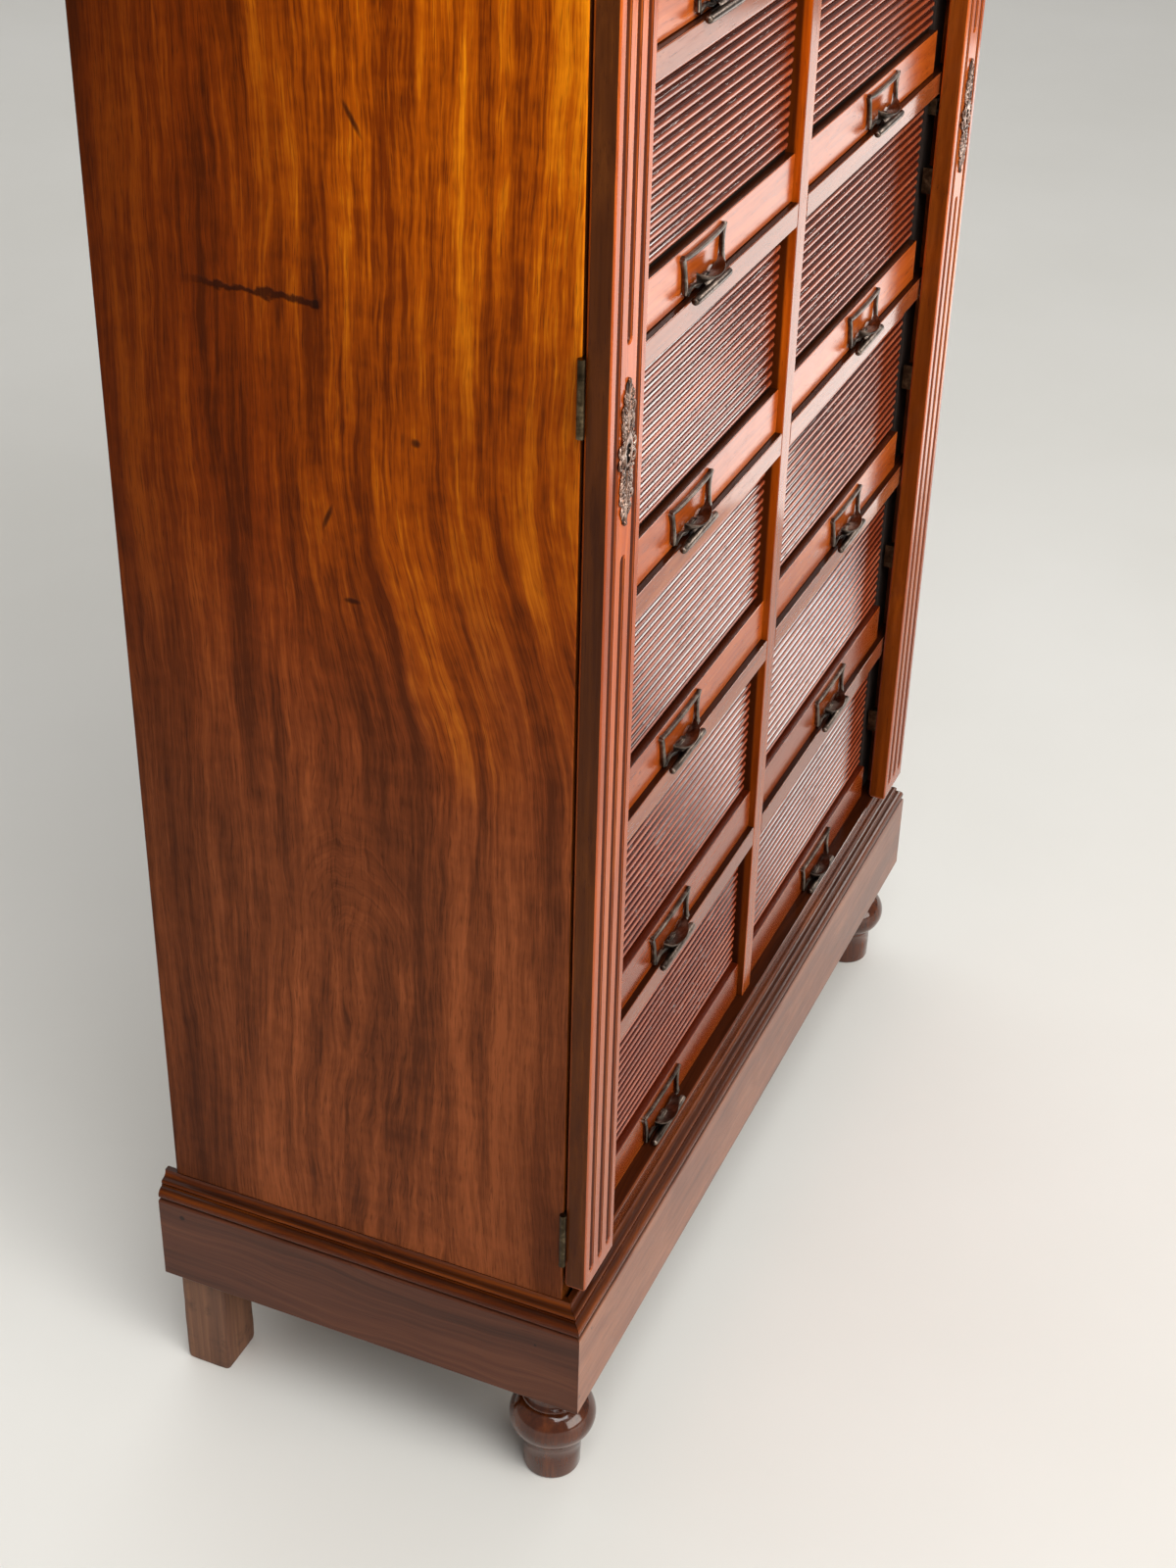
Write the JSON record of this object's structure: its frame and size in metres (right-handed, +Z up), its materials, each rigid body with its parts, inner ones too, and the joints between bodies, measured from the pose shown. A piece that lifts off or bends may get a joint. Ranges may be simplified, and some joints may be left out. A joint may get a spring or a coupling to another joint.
{
  "type": "tambour filing cabinet",
  "caption": "Tall mahogany filing cabinet with columns of tambour-fronted drawers, hinged fluted lock stiles, a moulded plinth and turned front feet.",
  "frame": {"origin": "on the floor, under the middle of the plinth", "axes": "+Z up; the drawers face -Y and slide out along -Y; +X to the right of someone facing the drawers"},
  "size_m": [0.82, 0.366, 1.687],
  "materials": {
    "mahogany": "satin french polish",
    "dark_mahogany": "glossy dark polish",
    "carcase_wood": "plain, unpolished",
    "aged_brass": "aged, dull",
    "cast_brass": "worn casting",
    "bronze": "dark bronzed, rubbed on the edges",
    "steel": "plain steel"
  },
  "bodies": {
    "case": {"side_panels": "mahogany", "top_board": "mahogany", "cornice_moulding": "mahogany", "bottom_board": "mahogany", "back_boards": "carcase_wood", "centre_divider": "mahogany", "drawer_rails": "mahogany", "drawer_runners": "carcase_wood", "guide_posts": "carcase_wood", "plinth_frame": "mahogany", "plinth_moulding": "mahogany", "front_feet": "dark_mahogany", "rear_feet": "carcase_wood", "hinge_case_leaves": "aged_brass", "hinge_pins": "steel", "strike_plates": "aged_brass"},
    "left_stile": {"left_lock_stile": "mahogany", "left_stile_hinge_leaves": "aged_brass", "left_escutcheon": "cast_brass", "left_lock_case": "aged_brass", "left_lock_lugs": "aged_brass"},
    "left_bolt": {"left_lock_bolt": "steel"},
    "left_drawer_1": {"tambour_drawer_left_1": "mahogany", "label_pull_left_1": "bronze"},
    "left_drawer_2": {"tambour_drawer_left_2": "mahogany", "label_pull_left_2": "bronze"},
    "left_drawer_3": {"tambour_drawer_left_3": "mahogany", "label_pull_left_3": "bronze"},
    "left_drawer_4": {"tambour_drawer_left_4": "mahogany", "label_pull_left_4": "bronze"},
    "left_drawer_5": {"tambour_drawer_left_5": "mahogany", "label_pull_left_5": "bronze"},
    "left_drawer_6": {"tambour_drawer_left_6": "mahogany", "label_pull_left_6": "bronze"},
    "left_drawer_7": {"tambour_drawer_left_7": "mahogany", "label_pull_left_7": "bronze"},
    "left_drawer_8": {"tambour_drawer_left_8": "mahogany", "label_pull_left_8": "bronze"},
    "right_stile": {"right_lock_stile": "mahogany", "right_stile_hinge_leaves": "aged_brass", "right_escutcheon": "cast_brass", "right_lock_case": "aged_brass", "right_lock_lugs": "aged_brass"},
    "right_bolt": {"right_lock_bolt": "steel"},
    "right_drawer_1": {"tambour_drawer_right_1": "mahogany", "label_pull_right_1": "bronze"},
    "right_drawer_2": {"tambour_drawer_right_2": "mahogany", "label_pull_right_2": "bronze"},
    "right_drawer_3": {"tambour_drawer_right_3": "mahogany", "label_pull_right_3": "bronze"},
    "right_drawer_4": {"tambour_drawer_right_4": "mahogany", "label_pull_right_4": "bronze"},
    "right_drawer_5": {"tambour_drawer_right_5": "mahogany", "label_pull_right_5": "bronze"},
    "right_drawer_6": {"tambour_drawer_right_6": "mahogany", "label_pull_right_6": "bronze"},
    "right_drawer_7": {"tambour_drawer_right_7": "mahogany", "label_pull_right_7": "bronze"},
    "right_drawer_8": {"tambour_drawer_right_8": "mahogany", "label_pull_right_8": "bronze"}
  },
  "joints": [
    {"name": "left_stile_hinge", "type": "hinge", "parent": "case", "child": "left_stile", "pos_m": [-0.3988, -0.163, 0.93], "axis": [0, 0, -1], "range_deg": [0, 175]},
    {"name": "left_bolt_slide", "type": "slide", "parent": "left_stile", "child": "left_bolt", "axis": [0, 1, 0], "range_m": [0, 0.008]},
    {"name": "left_drawer_1_slide", "type": "slide", "parent": "case", "child": "left_drawer_1", "axis": [0, -1, 0], "range_m": [0, 0.24]},
    {"name": "left_drawer_2_slide", "type": "slide", "parent": "case", "child": "left_drawer_2", "axis": [0, -1, 0], "range_m": [0, 0.24]},
    {"name": "left_drawer_3_slide", "type": "slide", "parent": "case", "child": "left_drawer_3", "axis": [0, -1, 0], "range_m": [0, 0.24]},
    {"name": "left_drawer_4_slide", "type": "slide", "parent": "case", "child": "left_drawer_4", "axis": [0, -1, 0], "range_m": [0, 0.24]},
    {"name": "left_drawer_5_slide", "type": "slide", "parent": "case", "child": "left_drawer_5", "axis": [0, -1, 0], "range_m": [0, 0.24]},
    {"name": "left_drawer_6_slide", "type": "slide", "parent": "case", "child": "left_drawer_6", "axis": [0, -1, 0], "range_m": [0, 0.24]},
    {"name": "left_drawer_7_slide", "type": "slide", "parent": "case", "child": "left_drawer_7", "axis": [0, -1, 0], "range_m": [0, 0.24]},
    {"name": "left_drawer_8_slide", "type": "slide", "parent": "case", "child": "left_drawer_8", "axis": [0, -1, 0], "range_m": [0, 0.24]},
    {"name": "right_stile_hinge", "type": "hinge", "parent": "case", "child": "right_stile", "pos_m": [0.3988, -0.163, 0.93], "axis": [0, 0, 1], "range_deg": [0, 175]},
    {"name": "right_bolt_slide", "type": "slide", "parent": "right_stile", "child": "right_bolt", "axis": [0, 1, 0], "range_m": [0, 0.008]},
    {"name": "right_drawer_1_slide", "type": "slide", "parent": "case", "child": "right_drawer_1", "axis": [0, -1, 0], "range_m": [0, 0.24]},
    {"name": "right_drawer_2_slide", "type": "slide", "parent": "case", "child": "right_drawer_2", "axis": [0, -1, 0], "range_m": [0, 0.24]},
    {"name": "right_drawer_3_slide", "type": "slide", "parent": "case", "child": "right_drawer_3", "axis": [0, -1, 0], "range_m": [0, 0.24]},
    {"name": "right_drawer_4_slide", "type": "slide", "parent": "case", "child": "right_drawer_4", "axis": [0, -1, 0], "range_m": [0, 0.24]},
    {"name": "right_drawer_5_slide", "type": "slide", "parent": "case", "child": "right_drawer_5", "axis": [0, -1, 0], "range_m": [0, 0.24]},
    {"name": "right_drawer_6_slide", "type": "slide", "parent": "case", "child": "right_drawer_6", "axis": [0, -1, 0], "range_m": [0, 0.24]},
    {"name": "right_drawer_7_slide", "type": "slide", "parent": "case", "child": "right_drawer_7", "axis": [0, -1, 0], "range_m": [0, 0.24]},
    {"name": "right_drawer_8_slide", "type": "slide", "parent": "case", "child": "right_drawer_8", "axis": [0, -1, 0], "range_m": [0, 0.24]}
  ]
}
